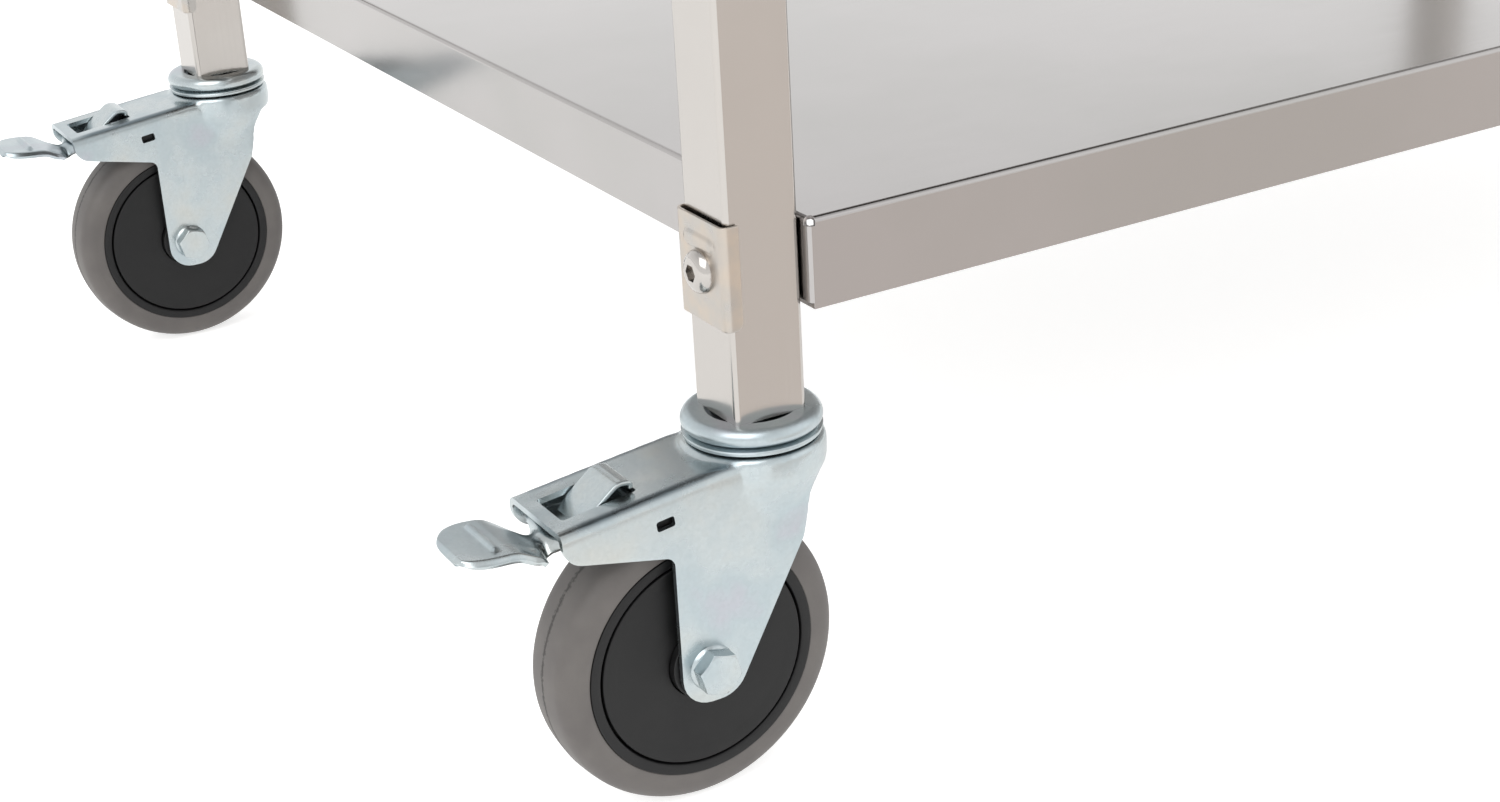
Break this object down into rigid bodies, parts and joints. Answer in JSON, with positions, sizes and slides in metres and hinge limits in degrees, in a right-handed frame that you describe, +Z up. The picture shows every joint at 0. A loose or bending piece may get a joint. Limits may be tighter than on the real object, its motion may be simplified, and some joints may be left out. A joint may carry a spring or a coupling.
{
  "type": "kitchen island cart",
  "caption": "Stainless kitchen island cart: flat worktop over two pan shelves on square legs, each leg on a swivel caster with a foot brake.",
  "frame": {"origin": "on the floor under the middle of the worktop", "axes": "+Z up, +X along the length, front towards -Y"},
  "size_m": [1.0144, 0.61, 0.9],
  "materials": {
    "polished_steel": "polished",
    "zinc_steel": "zinc plated",
    "bearing_steel": "ground",
    "grey_rubber": "moulded",
    "black_nylon": "moulded satin"
  },
  "bodies": {
    "root": {"worktop": "polished_steel", "middle_shelf": "polished_steel", "bottom_shelf": "polished_steel", "worktop_channels": "polished_steel", "worktop_stiffener": "polished_steel", "shelf_clips": "polished_steel", "frame_bolts": "polished_steel", "frame_nuts": "zinc_steel", "leg_inserts": "black_nylon", "swivel_cups": "zinc_steel", "caster_stems": "zinc_steel", "swivel_balls": "bearing_steel", "front_left_leg": "polished_steel", "front_right_leg": "polished_steel", "rear_left_leg": "polished_steel", "rear_right_leg": "polished_steel"},
    "front_left_fork_body": {"front_left_fork": "zinc_steel", "front_left_axle_bolt": "zinc_steel", "front_left_axle_nut": "zinc_steel", "front_left_axle_sleeve": "bearing_steel", "front_left_brake_pin": "zinc_steel"},
    "front_left_wheel_body": {"front_left_wheel_hub": "black_nylon", "front_left_tyre": "grey_rubber", "front_left_dust_covers": "black_nylon"},
    "front_left_pedal_body": {"front_left_brake_pedal": "zinc_steel", "front_left_release_tab": "zinc_steel", "front_left_brake_shoe": "zinc_steel"},
    "front_right_fork_body": {"front_right_fork": "zinc_steel", "front_right_axle_bolt": "zinc_steel", "front_right_axle_nut": "zinc_steel", "front_right_axle_sleeve": "bearing_steel", "front_right_brake_pin": "zinc_steel"},
    "front_right_wheel_body": {"front_right_wheel_hub": "black_nylon", "front_right_tyre": "grey_rubber", "front_right_dust_covers": "black_nylon"},
    "front_right_pedal_body": {"front_right_brake_pedal": "zinc_steel", "front_right_release_tab": "zinc_steel", "front_right_brake_shoe": "zinc_steel"},
    "rear_left_fork_body": {"rear_left_fork": "zinc_steel", "rear_left_axle_bolt": "zinc_steel", "rear_left_axle_nut": "zinc_steel", "rear_left_axle_sleeve": "bearing_steel", "rear_left_brake_pin": "zinc_steel"},
    "rear_left_wheel_body": {"rear_left_wheel_hub": "black_nylon", "rear_left_tyre": "grey_rubber", "rear_left_dust_covers": "black_nylon"},
    "rear_left_pedal_body": {"rear_left_brake_pedal": "zinc_steel", "rear_left_release_tab": "zinc_steel", "rear_left_brake_shoe": "zinc_steel"},
    "rear_right_fork_body": {"rear_right_fork": "zinc_steel", "rear_right_axle_bolt": "zinc_steel", "rear_right_axle_nut": "zinc_steel", "rear_right_axle_sleeve": "bearing_steel", "rear_right_brake_pin": "zinc_steel"},
    "rear_right_wheel_body": {"rear_right_wheel_hub": "black_nylon", "rear_right_tyre": "grey_rubber", "rear_right_dust_covers": "black_nylon"},
    "rear_right_pedal_body": {"rear_right_brake_pedal": "zinc_steel", "rear_right_release_tab": "zinc_steel", "rear_right_brake_shoe": "zinc_steel"}
  },
  "joints": [
    {"name": "front_left_swivel", "type": "hinge", "parent": "root", "child": "front_left_fork_body", "pos_m": [-0.4, -0.2475, 0.1165], "axis": [0, 0, 1], "continuous": true},
    {"name": "front_left_wheel_spin", "type": "hinge", "parent": "front_left_fork_body", "child": "front_left_wheel_body", "pos_m": [-0.429, -0.2475, 0.05], "axis": [0, 1, 0], "continuous": true},
    {"name": "front_left_brake", "type": "hinge", "parent": "front_left_fork_body", "child": "front_left_pedal_body", "pos_m": [-0.4414, -0.2475, 0.1032], "axis": [0, -1, 0], "range_deg": [0, 12]},
    {"name": "front_right_swivel", "type": "hinge", "parent": "root", "child": "front_right_fork_body", "pos_m": [0.4, -0.2475, 0.1165], "axis": [0, 0, 1], "continuous": true},
    {"name": "front_right_wheel_spin", "type": "hinge", "parent": "front_right_fork_body", "child": "front_right_wheel_body", "pos_m": [0.429, -0.2475, 0.05], "axis": [0, 1, 0], "continuous": true},
    {"name": "front_right_brake", "type": "hinge", "parent": "front_right_fork_body", "child": "front_right_pedal_body", "pos_m": [0.4414, -0.2475, 0.1032], "axis": [0, 1, 0], "range_deg": [0, 12]},
    {"name": "rear_left_swivel", "type": "hinge", "parent": "root", "child": "rear_left_fork_body", "pos_m": [-0.4, 0.2475, 0.1165], "axis": [0, 0, 1], "continuous": true},
    {"name": "rear_left_wheel_spin", "type": "hinge", "parent": "rear_left_fork_body", "child": "rear_left_wheel_body", "pos_m": [-0.429, 0.2475, 0.05], "axis": [0, 1, 0], "continuous": true},
    {"name": "rear_left_brake", "type": "hinge", "parent": "rear_left_fork_body", "child": "rear_left_pedal_body", "pos_m": [-0.4414, 0.2475, 0.1032], "axis": [0, -1, 0], "range_deg": [0, 12]},
    {"name": "rear_right_swivel", "type": "hinge", "parent": "root", "child": "rear_right_fork_body", "pos_m": [0.4, 0.2475, 0.1165], "axis": [0, 0, 1], "continuous": true},
    {"name": "rear_right_wheel_spin", "type": "hinge", "parent": "rear_right_fork_body", "child": "rear_right_wheel_body", "pos_m": [0.429, 0.2475, 0.05], "axis": [0, 1, 0], "continuous": true},
    {"name": "rear_right_brake", "type": "hinge", "parent": "rear_right_fork_body", "child": "rear_right_pedal_body", "pos_m": [0.4414, 0.2475, 0.1032], "axis": [0, 1, 0], "range_deg": [0, 12]}
  ]
}
